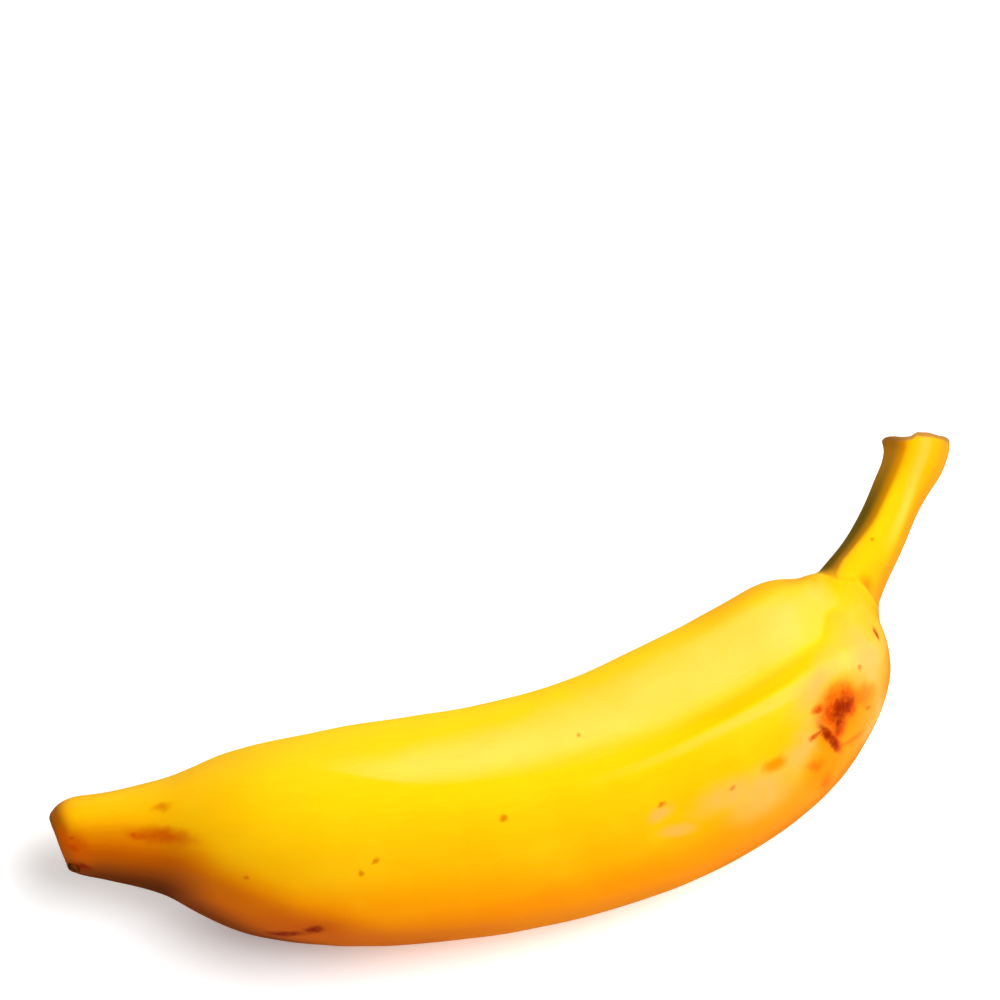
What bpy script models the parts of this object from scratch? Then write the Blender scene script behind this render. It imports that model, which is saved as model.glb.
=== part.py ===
"""An apple banana, one short plump fruit with its stalk, as picked, lying on its flank.

Metres, +Z up. X runs from the blossom end to the stalk and Y towards the hollow side of the bend.
The origin is on the surface that the fruit lies on, under the middle of its box.
The fruit grew as one piece, so it is one solid: a loft of five-sided, rounded cross-sections.
"""

from math import cos, pi, radians, sin
from typing import NamedTuple

import bmesh
import bpy
import numpy as np
from mathutils import Matrix, Vector

NAME = "banana"
MM = 0.001

# The way it lies still: the plane of its bend rises towards the hollow side and towards the stalk
BEND_PLANE_TILT = radians(11)
BEND_PLANE_RISE = radians(3)

# The small flat that it rests on is cut this deep
REST_FLAT_DEPTH = 0.4 * MM

# Skin colour, linear, and its shine
SKIN_COLOUR = (0.93, 0.52, 0.02, 1.0)
SKIN_ROUGHNESS = 0.45

# The five flat sides of a cross-section: the way each one faces, in degrees from straight up off the
# plane of the bend, turning towards its hollow side. A ridge runs where two of them meet, and the
# ridges turn about the fruit as they run out over its ends.
TIP_FACINGS = (73, 152, 233, 300, 366)
BODY_FACINGS = (36, 115, 196, 257, 324)
STALK_FACINGS = (-12, 60, 130, 222, 306)
COLUMNS_PER_SIDE = 8

# How sharp the ridges are at places along the fruit, as the power that blends the sides: 2 is round
SHARPNESS_PLACES = (-66, -40, 0, 38, 52, 64)
SHARPNESS = (5, 3.6, 4.6, 5, 3.2, 7)

# Places along the fruit, in millimetres: the body's form holds between the first two, and changes to
# the tip's and the stalk's by the last two
BODY_FROM, BODY_TO = -16, 46
TIP_BY, STALK_BY = -62, 59

# How far the stalk's end leans back, down from the plane of the bend, in millimetres
STALK_LEAN_BACK = 2.0
STALK_END = 77

# Distance between the cross-sections along the fruit's convex edge, in millimetres
RING_SPACING = 2.0

# The slab that cuts the flat
SLAB_SIZE = (0.2, 0.2, 0.01)


class Station(NamedTuple):
    """A measured cross-section, in millimetres and degrees. It stands square to the plane of the bend."""

    along: float
    aside: float
    heading: float
    half_width: float
    half_depth: float


STATIONS = (
    # Blossom end, cut off a little askew
    Station(-67.4, 7.0, -4, 4.8, 4.7),
    Station(-66.2, 7.2, -9, 5.6, 5.5),
    Station(-63.8, 6.2, -15, 6.4, 6.3),
    # Neck of the tip
    Station(-58.0, 3.3, -22, 7.6, 7.4),
    Station(-53.3, 1.1, -26, 9.1, 8.9),
    Station(-48.8, -1.1, -28, 11.7, 11.3),
    # Body
    Station(-42.6, -4.6, -28, 14.2, 13.8),
    Station(-33.7, -9.1, -27, 16.0, 15.6),
    Station(-17.4, -15.5, -25, 17.1, 16.7),
    Station(0.2, -20.2, -22, 17.6, 17.2),
    Station(17.1, -22.1, -18, 18.3, 17.5),
    Station(32.8, -21.4, -14, 18.0, 17.0),
    # Blunt shoulder, its outer side full and its inner side running into the stalk
    Station(41.2, -20.2, -11, 16.8, 16.2),
    Station(47.7, -18.9, -6, 13.7, 13.6),
    Station(52.4, -16.3, 3, 10.9, 10.6),
    Station(55.3, -13.2, 12, 8.3, 7.8),
    Station(57.1, -9.4, 19, 5.3, 5.3),
    # Stalk, widening to where it was cut from the hand
    Station(60.7, -6.8, 28, 4.4, 4.4),
    Station(65.2, -3.6, 37, 4.1, 4.0),
    Station(69.5, -0.2, 45, 4.0, 3.9),
    Station(73.7, 2.8, 53, 4.6, 4.2),
    Station(76.4, 4.8, 58, 5.1, 4.6),
    Station(77.5, 7.1, 64, 5.6, 4.7),
)

# End faces, as rings drawn in: share of the end's outline, and how far out each stands, in millimetres
BLOSSOM_SCAR_RINGS = ((0.88, 0.4), (0.66, 0.5), (0.44, 0.2), (0.22, 0.3))
STALK_CUT_RINGS = ((0.88, 0.3), (0.6, 0.1), (0.25, 0.2))


def smoothly(low, high, value):
    """0 below low and 1 above high, with a smooth step between them."""
    share = min(max((value - low) / (high - low), 0), 1)
    return share * share * (3 - 2 * share)


def natural_spline(knots, values, wanted):
    """Natural cubic splines through the rows of values at the knots, read at the wanted places."""
    gaps = np.diff(knots)
    slopes = np.diff(values, axis=0) / gaps[:, None]
    matrix = np.eye(len(knots))
    right = np.zeros_like(values)
    for i in range(1, len(knots) - 1):
        matrix[i, i - 1 : i + 2] = gaps[i - 1], 2 * (gaps[i - 1] + gaps[i]), gaps[i]
        right[i] = 6 * (slopes[i] - slopes[i - 1])
    bends = np.linalg.solve(matrix, right)
    spans = np.clip(np.searchsorted(knots, wanted) - 1, 0, len(gaps) - 1)
    gap, step = gaps[spans][:, None], (wanted - knots[spans])[:, None]
    low, high = bends[spans], bends[spans + 1]
    rise = slopes[spans] - gap * (2 * low + high) / 6
    return values[spans] + step * (rise + step * (low / 2 + step * (high - low) / (6 * gap)))


def outer_edge(stations):
    """The points where the stations meet the fruit's convex edge."""
    heading = np.radians(stations[:, 2])
    inward = np.stack([-np.sin(heading), np.cos(heading)], axis=1)
    return stations[:, :2] - inward * stations[:, 3:4]


def sections():
    """The stations, with others read between them at even steps along the fruit's convex edge."""
    stations = np.array(STATIONS, float)
    gaps = np.linalg.norm(np.diff(outer_edge(stations), axis=0), axis=1)
    knots = np.append(0, np.cumsum(gaps))
    counts = np.maximum(np.ceil(gaps / RING_SPACING), 2).astype(int)
    between = [np.linspace(a, b, n, endpoint=False) for a, b, n in zip(knots, knots[1:], counts)]
    wanted = np.append(np.concatenate(between), knots[-1])
    return [Station(*row) for row in natural_spline(knots, stations, wanted)]


def changing(along, tip, body, stalk):
    """A value that holds along the body and changes over the neck and the shoulder, at this place."""
    to_tip = smoothly(-BODY_FROM, -TIP_BY, -along)
    to_stalk = smoothly(BODY_TO, STALK_BY, along)
    return body + (tip - body) * to_tip + (stalk - body) * to_stalk


def column_angles(facings):
    """The angles of a section's points: one on each ridge, and the others evenly between the ridges."""
    following = np.append(facings[1:], facings[0] + 2 * pi)
    ridges = (facings + following) / 2
    ends = np.append(ridges[1:], ridges[0] + 2 * pi)
    sides = [np.linspace(a, b, COLUMNS_PER_SIDE, endpoint=False) for a, b in zip(ridges, ends)]
    return np.concatenate(sides)


def five_sided(facings, sharpness):
    """Points of a rounded five-sided outline that just fills a square of side 2, as (up, inward) pairs."""
    angles = column_angles(facings)
    towards = np.maximum(np.cos(angles[:, None] - facings), 0)
    radius = (towards**sharpness).sum(axis=1) ** (-1 / sharpness)
    points = np.stack([np.cos(angles), np.sin(angles)], axis=1) * radius[:, None]
    low, high = points.min(axis=0), points.max(axis=0)
    return (points - (low + high) / 2) / ((high - low) / 2)


def ring_points(station):
    """The points of one cross-section of the skin."""
    turns = [np.radians(facings) for facings in (TIP_FACINGS, BODY_FACINGS, STALK_FACINGS)]
    sharpness = np.interp(station.along, SHARPNESS_PLACES, SHARPNESS)
    outline = five_sided(changing(station.along, *turns), sharpness)
    heading = radians(station.heading)
    inward = np.array([-sin(heading), cos(heading), 0])
    up = np.array([0, 0, 1])
    lean_back = STALK_LEAN_BACK * smoothly(BODY_TO, STALK_END, station.along)
    centre = np.array([station.along, station.aside, -lean_back])
    across = outline[:, 1:] * inward * station.half_width
    return (centre + across + outline[:, :1] * up * station.half_depth) * MM


def bridge(mesh, first, second):
    """A band of quads between two rings of as many points."""
    for i in range(len(first)):
        j = (i + 1) % len(first)
        mesh.faces.new((first[i], first[j], second[j], second[i]))


def close_end(mesh, ring, station, side, drawn_in):
    """Closes an end with rings drawn in towards its middle. Side is -1 at the blossom end."""
    heading = radians(station.heading)
    outward = Vector((cos(heading), sin(heading), 0)) * side
    middle = sum((v.co for v in ring), Vector()) / len(ring)
    outer = ring
    for share, height in drawn_in:
        inner = [mesh.verts.new(middle.lerp(v.co, share) + outward * height * MM) for v in ring]
        bridge(mesh, outer, inner)
        outer = inner
    mesh.faces.new(outer)


def skin_mesh():
    """The whole fruit as one closed mesh, with its bend in the XY plane."""
    stations = sections()
    mesh = bmesh.new()
    rings = [[mesh.verts.new(p) for p in ring_points(s)] for s in stations]
    for first, second in zip(rings, rings[1:]):
        bridge(mesh, first, second)
    close_end(mesh, rings[0], stations[0], -1, BLOSSOM_SCAR_RINGS)
    close_end(mesh, rings[-1], stations[-1], 1, STALK_CUT_RINGS)
    bmesh.ops.recalc_face_normals(mesh, faces=mesh.faces)
    data = bpy.data.meshes.new(NAME)
    mesh.to_mesh(data)
    mesh.free()
    return data


def skin_material():
    """Ripe yellow skin."""
    material = bpy.data.materials.new("skin")
    material.use_nodes = True
    shader = material.node_tree.nodes["Principled BSDF"]
    shader.inputs["Base Color"].default_value = SKIN_COLOUR
    shader.inputs["Roughness"].default_value = SKIN_ROUGHNESS
    shader.inputs["Metallic"].default_value = 0
    return material


def collection(name):
    """A new collection in the scene."""
    made = bpy.data.collections.new(name)
    bpy.context.scene.collection.children.link(made)
    return made


def build_banana(parts):
    """The fruit lying on its flank, with its box centred over the origin, sunk by the depth of its flat."""
    fruit = bpy.data.objects.new(NAME, skin_mesh())
    parts.objects.link(fruit)
    fruit.rotation_euler = (BEND_PLANE_TILT, -BEND_PLANE_RISE, 0)
    lying = np.array([fruit.rotation_euler.to_matrix() @ v.co for v in fruit.data.vertices])
    low, high = lying.min(axis=0), lying.max(axis=0)
    middle = (low + high) / 2
    fruit.location = (-middle[0], -middle[1], -low[2] - REST_FLAT_DEPTH)
    fruit.data.materials.append(skin_material())
    fruit.data.shade_smooth()
    return fruit


def flatten_under(fruit, cutters):
    """Cuts the small flat that the fruit rests on, with a slab whose top is the surface it lies on."""
    slab = bmesh.new()
    bmesh.ops.create_cube(slab, size=1)
    slab.transform(Matrix.Diagonal((*SLAB_SIZE, 1)))
    slab.transform(Matrix.Translation((0, 0, -SLAB_SIZE[2] / 2)))
    data = bpy.data.meshes.new("surface_cutter")
    slab.to_mesh(data)
    slab.free()
    cutter = bpy.data.objects.new("surface_cutter", data)
    cutters.objects.link(cutter)
    cutter.hide_render = True
    cutter.display_type = "WIRE"
    cut = fruit.modifiers.new("rest flat", "BOOLEAN")
    cut.operation = "DIFFERENCE"
    cut.object = cutter


def main():
    for obj in list(bpy.data.objects):
        bpy.data.objects.remove(obj)
    fruit = build_banana(collection("apple_banana"))
    flatten_under(fruit, collection("cutters"))


main()
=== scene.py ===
"""An apple banana lying on a pale surface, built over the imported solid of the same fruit.

Everything is in metres, in the frame of the solid: +X runs from the blossom end to the stalk, +Y
points to the hollow side of the bend, and +Z is up off the surface.
"""

from math import cos, pi, radians, sin
from typing import NamedTuple

import bpy
import numpy as np
from bpy.props import FloatProperty, FloatVectorProperty, PointerProperty
from bpy.types import Operator, Panel, PropertyGroup
from mathutils import Euler, Matrix, Vector, noise
from mathutils.bvhtree import BVHTree
from mathutils.geometry import intersect_point_line


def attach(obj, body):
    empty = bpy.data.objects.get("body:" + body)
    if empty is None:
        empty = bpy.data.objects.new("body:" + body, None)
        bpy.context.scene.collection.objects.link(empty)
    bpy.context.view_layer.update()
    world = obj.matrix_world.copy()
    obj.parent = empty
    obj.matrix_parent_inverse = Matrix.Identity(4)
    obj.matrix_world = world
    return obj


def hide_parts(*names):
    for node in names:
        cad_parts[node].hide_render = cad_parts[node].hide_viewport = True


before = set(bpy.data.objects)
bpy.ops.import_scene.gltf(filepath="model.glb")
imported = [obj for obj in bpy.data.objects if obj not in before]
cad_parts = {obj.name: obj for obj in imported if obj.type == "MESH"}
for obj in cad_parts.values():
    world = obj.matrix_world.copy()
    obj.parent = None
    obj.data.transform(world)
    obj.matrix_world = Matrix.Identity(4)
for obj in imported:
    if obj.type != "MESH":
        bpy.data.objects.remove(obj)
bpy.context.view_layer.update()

bl_info = {
    "name": "Apple Banana",
    "version": (1, 0, 0),
    "blender": (4, 5, 0),
    "location": "3D View > Sidebar > Banana",
    "description": "Builds an apple banana with its dry ends, and the light and camera to show it",
    "category": "Object",
}

NODE = "banana"
BODY = "root"
MM = 0.001
# The attributes that hold each point's place about the fruit, and its distances from two ridges
PLACES = "places"
RIDGES = "ridges"

# The way the fruit lies: the plane of its bend rises towards the hollow side and towards the stalk, and
# the middle of that plane is here
BEND_TURN = (radians(11), radians(-3), 0)
BEND_PLACE = (-7.172 * MM, 13.328 * MM, 19.882 * MM)

# The fruit's middle in the plane of its bend, from its blossom end to the end of its stalk: how far along
# and aside it is, in millimetres, the way it heads, in degrees, and its half width and half depth, in
# millimetres
STATIONS = (
    (-67.4, 7.0, -4, 4.8, 4.7),
    (-66.2, 7.2, -9, 5.6, 5.5),
    (-63.8, 6.2, -15, 6.4, 6.3),
    (-58.0, 3.3, -22, 7.6, 7.4),
    (-53.3, 1.1, -26, 9.1, 8.9),
    (-48.8, -1.1, -28, 11.7, 11.3),
    (-42.6, -4.6, -28, 14.2, 13.8),
    (-33.7, -9.1, -27, 16.0, 15.6),
    (-17.4, -15.5, -25, 17.1, 16.7),
    (0.2, -20.2, -22, 17.6, 17.2),
    (17.1, -22.1, -18, 18.3, 17.5),
    (32.8, -21.4, -14, 18.0, 17.0),
    (41.2, -20.2, -11, 16.8, 16.2),
    (47.7, -18.9, -6, 13.7, 13.6),
    (52.4, -16.3, 3, 10.9, 10.6),
    (55.3, -13.2, 12, 8.3, 7.8),
    (57.1, -9.4, 19, 5.3, 5.3),
    (60.7, -6.8, 28, 4.4, 4.4),
    (65.2, -3.6, 37, 4.1, 4.0),
    (69.5, -0.2, 45, 4.0, 3.9),
    (73.7, 2.8, 53, 4.6, 4.2),
    (76.4, 4.8, 58, 5.1, 4.6),
    (77.5, 7.1, 64, 5.6, 4.7),
)
STALK_FOOT = STATIONS[17]
# The stalk's end leans back, down from that plane, by this much, from the first place along it to the second
STALK_DROP = 2.0 * MM
DROP_FROM, DROP_TO = 46 * MM, 77 * MM

# The cage that the peel starts from: sides to a ring, how far apart its rings stand along the convex edge,
# on the body and over the tip and the stalk, and the rings close by each end that keep its rim crisp
CAGE_SIDES = 24
BODY_STEP, END_STEP = 5.2 * MM, 2.5 * MM
RIM_STEPS = (0.0, 0.5 * MM, 1.3 * MM)
# Steps and rounds in which the line through the stations is smoothed
EASED_STEPS = 160
EASED_ROUNDS = 8
# Shares by which the tube's end faces are drawn in, one ring after another
END_INSETS = (0.16, 0.26, 0.26)

# Angles of the ridges about the fruit, from straight up off the plane of its bend and turning towards
# the hollow side, at the tip, along the body and on the stalk. The first one runs along its back.
TIP_RIDGES = (39.5, 112.5, 192.5, 266.5, 333)
BODY_RIDGES = (0, 75.5, 155.5, 226.5, 290.5)
STALK_RIDGES = (-33, 24, 95, 176, 264)
# Where they turn, as a place along the plane of the bend: they hold between the inner two
TIP_BY, BODY_FROM, BODY_TO, STALK_BY = -62 * MM, -16 * MM, 46 * MM, 59 * MM

# The photograph is 1000 pixels wide and high. The aim is the point of the fruit's middle that it shows here.
PHOTO_SIZE = 1000
AIM = Vector((-0.0072, 0.0133, 0.0199))
AIM_PIXEL = (492.5, 690)
# How wide the camera's sensor is, in millimetres, and the surface that the fruit lies on, in metres
SENSOR = 36
FLOOR_SIZE = 8


class SoftLight(NamedTuple):
    """A square soft light: its azimuth and elevation in degrees, how far off it stands, its size in metres,
    and whether the skin mirrors it."""

    azimuth: float
    elevation: float
    distance: float
    size: float
    mirrored: bool


KEY_LIGHT = SoftLight(46, 62, 0.9, 0.70, False)
SHEEN_LIGHT = SoftLight(42, 63, 0.9, 0.45, True)
BACK_LIGHT = SoftLight(165, 33, 0.9, 0.55, True)
SIDE_LIGHT = SoftLight(78, 14, 0.9, 0.40, True)

# Feature sizes and heights of the fruit's low lumps, and of the furrows on its neck and its stalk
LUMP_SIZES = ((15 * MM, 0.22 * MM), (6 * MM, 0.07 * MM))
FURROW_SIZES = ((2.4 * MM, 0.07 * MM), (5 * MM, 0.12 * MM))
FURROW_SEED, WORN_SEED = 5, 7
# How far aside of the first ridge the peel is worn, and how wide and high that edge is
WORN_ASIDE, WORN_WIDTH, WORN_HEIGHT = 1.6 * MM, 1.4 * MM, 0.09 * MM
# How wide and high the other ridges stand crisp
RIDGE_WIDTH, RIDGE_HEIGHT = 1.6 * MM, 0.12 * MM
# How far the end faces sink inside their rims
SCAR_DEPTH, CUT_DEPTH = 1.4 * MM, 1.2 * MM
# The stalk's cut isn't straight: it has a notch, and from there it rises by this much to its outer side and
# to its hollow side. The last stretch of the stalk takes it up, and on the hollow side it flares less.
NOTCH_DEPTH, OUTER_RISE, HOLLOW_RISE, UNEVEN_LENGTH = 0.3 * MM, 0.8 * MM, 1.0 * MM, 6 * MM
LESS_FLARE = 0.3 * MM
# How far the blossom end bulges out, over its last stretch
END_BULGE, BULGE_LENGTH = 0.65 * MM, 5 * MM
# The dry pieces set in the two ends: their sides and thickness, their share of the end's width, how far their
# outer face lies inside the rim, and the rings of that face, each with its share of the width and its rise
DISC_SIDES, DISC_DEPTH = 32, 1.6 * MM
SCAR_SHARE, SCAR_SUNK = 0.86, 0.45 * MM
SCAR_RINGS = ((0.10, 0.22 * MM), (0.22, 0.15 * MM), (0.20, -0.35 * MM), (0.12, 0.25 * MM), (0.06, 0.15 * MM))
CUT_SHARE, CUT_SUNK = 0.76, 0.35 * MM
CUT_RINGS = ((0.08, 0.22 * MM), (0.30, -0.05 * MM), (0.22, -0.12 * MM))
# The dry flap at the lower corner of the blossom end, where the photograph shows it
FLAP_PIXEL, FLAP_RADIUS = (74, 867), 0.75 * MM
# Rounds in which the ridges are softened, how many levels of softness there are, and how far off the first
# ridge it reaches
SOFT_ROUNDS, SOFT_LEVELS, SOFT_REACH = 160, 20, 9 * MM
# How far a mark reaches into the skin, how ragged its outline is, and how dull dry flesh is
MARK_DEPTH = 4 * MM
RAGGED = 1.6 * MM
DRY_GLOSS = 0.02


class Mark(NamedTuple):
    """A mark on the peel: the pixel of the photograph that shows its middle, its half length and half width
    there in pixels, and its slant there in degrees."""

    pixel: tuple
    half_length: float
    half_width: float
    slant: float = 0


MARKS = {
    # Amber skin round the wound on the shoulder, and a patch on the side
    "stain": (
        Mark((846, 714), 33, 25, 60), Mark((830, 744), 18, 13, -50), Mark((826, 768), 26, 17, 60),
        Mark((775, 764), 12, 6.5, 28),
    ),
    # Dry skin rubbed pale, on the side and on the shoulder; on the shoulder the pale, pinkish patches are
    # partly painted sheen
    "scuff_and_sheen": (
        Mark((661, 813), 11, 5.5, 30), Mark((678, 830), 13, 4.5, 8), Mark((726, 797), 27, 12, 25),
        Mark((760, 794), 30, 16, 32), Mark((806, 742), 34, 12, 60), Mark((822, 680), 34, 12, 55),
        Mark((868, 662), 44, 24, 80), Mark((874, 716), 26, 12, 70),
    ),
    # Faint brown beside the wound, on the tip and under the belly, and painted shade in the crease by the
    # stalk
    "smudge_and_crease_shade": (
        Mark((864, 695), 13, 8, 15), Mark((826, 782), 8, 5, 80), Mark((816, 766), 7, 4),
        Mark((852, 740), 14, 2.2, 27), Mark((162, 807), 8, 3.4, 14), Mark((306, 928), 48, 14, 3),
        Mark((866, 585), 7, 4.5, -40),
    ),
    # Deeper brown: painted shade on the tip and at its corner, over the tip's own brown, and a bruise under
    # the belly
    "shade": (
        Mark((162, 836), 27, 7, -3), Mark((142, 836), 14, 4, -3), Mark((80, 850), 14, 9, -60),
        Mark((66, 840), 11, 5, -62), Mark((308, 929), 34, 9, 6),
    ),
    # The torn middle of the wound, and the scratches under it
    "rust": (
        Mark((838, 707), 23, 17, 48), Mark((838, 725), 15, 9, 75), Mark((850, 708), 10, 7, 60),
        Mark((819, 709), 8, 5, 20), Mark((832, 738), 17, 6, -48), Mark((816, 735), 8, 2.2, 37),
    ),
    # The darkest parts of both, the scrape by the stalk, and lines at the tip's corner and under the belly
    "bruise": (
        Mark((840, 710), 12, 6.5, 65), Mark((848, 706), 9, 4, 60), Mark((839, 721), 9, 3.5, 80),
        Mark((830, 738), 15, 4.2, -48), Mark((876, 633), 7, 1.8, -65), Mark((82, 867), 9, 3, -12),
        Mark((314, 930), 9, 4, 10), Mark((286, 934), 18, 2.6, 2),
    ),
    # Specks
    "speck": (
        Mark((503, 818), 3.5, 3), Mark((375, 861), 4, 2.2, 40), Mark((361, 874), 2.6, 2),
        Mark((247, 877), 2.5, 2), Mark((133, 834), 2.6, 2.2), Mark((73, 838), 2.4, 2),
        Mark((73, 848), 4.5, 2.6, -20), Mark((661, 805), 4, 1.6, 25), Mark((733, 788), 3.4, 1.8, 30),
        Mark((578, 735), 1.8, 1.6), Mark((860, 667), 2.6, 2.2), Mark((868, 707), 2.6, 2.4),
        Mark((872, 539), 2.4, 2),
    ),
}
# The share of each kind's size that its soft edge takes
SOFTNESS = {
    "stain": 0.6, "scuff_and_sheen": 0.95, "smudge_and_crease_shade": 0.85, "shade": 0.8, "rust": 0.5, "bruise": 0.62, "speck": 0.6,
}

# The lip of the shoulder round the foot of the stalk, from pixel to pixel, and the crease behind it
FOLD_PIXELS = ((820, 577), (838, 584), (858, 585), (868, 596), (876, 609))
FOLD_WIDTH, FOLD_HEIGHT, FOLD_REACH = 1.0 * MM, 0.38 * MM, 12 * MM
CREASE_PLACE, CREASE_DEPTH = 1.5 * MM, 0.35 * MM


def smoothly(low, high, value):
    """0 below low and 1 above high, with a smooth step between them."""
    share = np.clip((value - low) / (high - low), 0, 1)
    return share * share * (3 - 2 * share)


class Ring(NamedTuple):
    """A section across the fruit, in the plane of its bend, and how far along the convex edge it stands."""

    middle: tuple
    heading: float
    half_width: float
    half_depth: float
    run: float


def eased_stations():
    """The stations, with others between them at even steps along the convex edge, in metres and radians."""
    rows = np.array(STATIONS) * (MM, MM, radians(1), MM, MM)
    outward = np.stack([np.sin(rows[:, 2]), -np.cos(rows[:, 2])], axis=1)
    edge = rows[:, :2] + outward * rows[:, 3:4]
    run = np.append(0, np.cumsum(np.linalg.norm(np.diff(edge, axis=0), axis=1)))
    even = np.linspace(0, run[-1], EASED_STEPS)
    rows = np.stack([np.interp(even, run, column) for column in rows.T], axis=1)
    for _ in range(EASED_ROUNDS):
        rows[1:-1] = (rows[:-2] + 2 * rows[1:-1] + rows[2:]) / 4
    return even, rows


def ring_runs(even, along):
    """How far along the convex edge each ring of the cage stands: they are closest over the tip and stalk."""
    by_tip, by_stalk = 1 - smoothly(TIP_BY, BODY_FROM, along), smoothly(DROP_FROM / 2, DROP_FROM, along)
    step = BODY_STEP + (END_STEP - BODY_STEP) * (by_tip + by_stalk)
    within = (even >= RIM_STEPS[-1]) & (even <= even[-1] - RIM_STEPS[-1])
    counted = np.cumsum(np.gradient(even[within]) / step[within])
    inner = np.interp(np.linspace(counted[0], counted[-1], round(counted[-1])), counted, even[within])
    return np.concatenate([RIM_STEPS[:-1], inner, even[-1] - np.array(RIM_STEPS[-2::-1])])


def cage_rings():
    """The rings of the cage, with the bend's plane laid flat."""
    even, rows = eased_stations()
    rings = []
    for run in ring_runs(even, rows[:, 0]):
        along, aside, heading, width, depth = (np.interp(run, even, column) for column in rows.T)
        drop = STALK_DROP * smoothly(DROP_FROM, DROP_TO, along)
        rings.append(Ring((along, aside, -drop), heading, width, depth, run))
    return rings


def only(obj):
    """Makes this the one selected object, and the active one."""
    bpy.ops.object.select_all(action="DESELECT")
    obj.select_set(True)
    bpy.context.view_layer.objects.active = obj


def apply_place():
    """Puts the place, the turn and the size of what is selected into its mesh."""
    bpy.ops.object.transform_apply(location=True, rotation=True, scale=True)


def lay_down(obj):
    """Moves a form that was made flat to where the fruit lies."""
    obj.location, obj.rotation_euler = BEND_PLACE, BEND_TURN
    apply_place()


def apply_modifier(obj, name, kind, **settings):
    """Adds a modifier with these settings and applies it."""
    only(obj)
    modifier = obj.modifiers.new(name, kind)
    for key, value in settings.items():
        setattr(modifier, key, value)
    bpy.ops.object.modifier_apply(modifier=modifier.name)


def subdivide(obj, levels):
    """Rounds a mesh by Catmull-Clark subdivision."""
    apply_modifier(obj, "Subdivision", "SUBSURF", levels=levels, render_levels=levels)


def extrude_along(rings):
    """A closed tube through these rings, extruded from a disc, in the mesh that is being edited."""
    for before, after in zip(rings, rings[1:]):
        step = np.subtract(after.middle, before.middle)
        bpy.ops.mesh.extrude_region_move(TRANSFORM_OT_translate={"value": step})
        # With no window the operator turns clockwise
        bpy.ops.transform.rotate(
            value=before.heading - after.heading, orient_axis="Z", center_override=after.middle
        )
        wider, deeper = after.half_width / before.half_width, after.half_depth / before.half_depth
        bpy.ops.transform.resize(value=(wider, wider, deeper), center_override=after.middle)


def inset_ends(rings):
    """Draws in the tube's two end faces, which are the ones with more than four sides."""
    for share in END_INSETS:
        bpy.ops.mesh.select_all(action="DESELECT")
        bpy.ops.mesh.select_face_by_sides(number=4, type="GREATER")
        bpy.ops.mesh.inset(thickness=rings[0].half_depth * share, use_even_offset=False)


def note_places(obj, rings):
    """Keeps each point's place about the fruit on the mesh: its angle's cosine and sine, and the run."""
    places = []
    for vertex in obj.data.vertices:
        ring = rings[min(vertex.index // CAGE_SIDES, len(rings) - 1)]
        if vertex.index >= CAGE_SIDES * len(rings):
            ring = min((rings[0], rings[-1]), key=lambda end: (vertex.co - Vector(end.middle)).length)
        away = vertex.co - Vector(ring.middle)
        inward = Vector((-sin(ring.heading), cos(ring.heading), 0))
        places.append((away.z / ring.half_depth, away.dot(inward) / ring.half_width, ring.run))
    noted = obj.data.attributes.new(PLACES, "FLOAT_VECTOR", "POINT")
    noted.data.foreach_set("vector", np.array(places, np.float32).ravel())


def wrapped_tube(name):
    """The fruit's form as a smooth mesh of even quads: a caged tube laid on the solid."""
    rings = cage_rings()
    first = rings[0]
    bpy.ops.object.select_all(action="DESELECT")
    bpy.ops.mesh.primitive_circle_add(
        vertices=CAGE_SIDES, radius=first.half_depth, fill_type="NGON", location=first.middle,
        rotation=(0, pi / 2, first.heading),
    )
    obj = bpy.context.object
    obj.name = obj.data.name = name
    apply_place()
    bpy.ops.object.mode_set(mode="EDIT")
    bpy.ops.mesh.select_all(action="SELECT")
    extrude_along(rings)
    inset_ends(rings)
    bpy.ops.mesh.select_all(action="SELECT")
    bpy.ops.mesh.normals_make_consistent(inside=False)
    bpy.ops.object.mode_set(mode="OBJECT")
    note_places(obj, rings)
    lay_down(obj)
    subdivide(obj, 1)
    apply_modifier(
        obj, "On the solid", "SHRINKWRAP", target=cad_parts[NODE], wrap_method="PROJECT",
        use_negative_direction=True, use_positive_direction=True,
    )
    subdivide(obj, 2)
    return obj


def rows_of(collection, key, width):
    """One value of each of a mesh's points, as rows of this width."""
    flat = np.empty(len(collection) * width, np.float32)
    collection.foreach_get(key, flat)
    return flat.reshape(-1, width).astype(float)


def noise_at(points, size, seed):
    """Smooth noise from -1 to 1 at these points, with features of about this size."""
    shift = Vector((seed * 13.7, seed * 7.1, -seed * 3.3))
    return np.array([noise.noise(Vector(point) + shift) for point in points / size])


def turning_ridges(along):
    """The angles of the five ridges where each point is, in radians, by how far along the plane it lies."""
    to_tip = smoothly(-BODY_FROM, -TIP_BY, -along)[:, None]
    to_stalk = smoothly(BODY_TO, STALK_BY, along)[:, None]
    tip, body, stalk = (np.radians(angles) for angles in (TIP_RIDGES, BODY_RIDGES, STALK_RIDGES))
    return body + (tip - body) * to_tip + (stalk - body) * to_stalk


def round_about(angles):
    """The same angles, from half a turn back to half a turn on."""
    return (angles + pi) % (2 * pi) - pi


def surface_of(mesh):
    """A mesh's surface, to look for points on."""
    return BVHTree.FromPolygons([v.co for v in mesh.vertices], [face.vertices for face in mesh.polygons])


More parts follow.
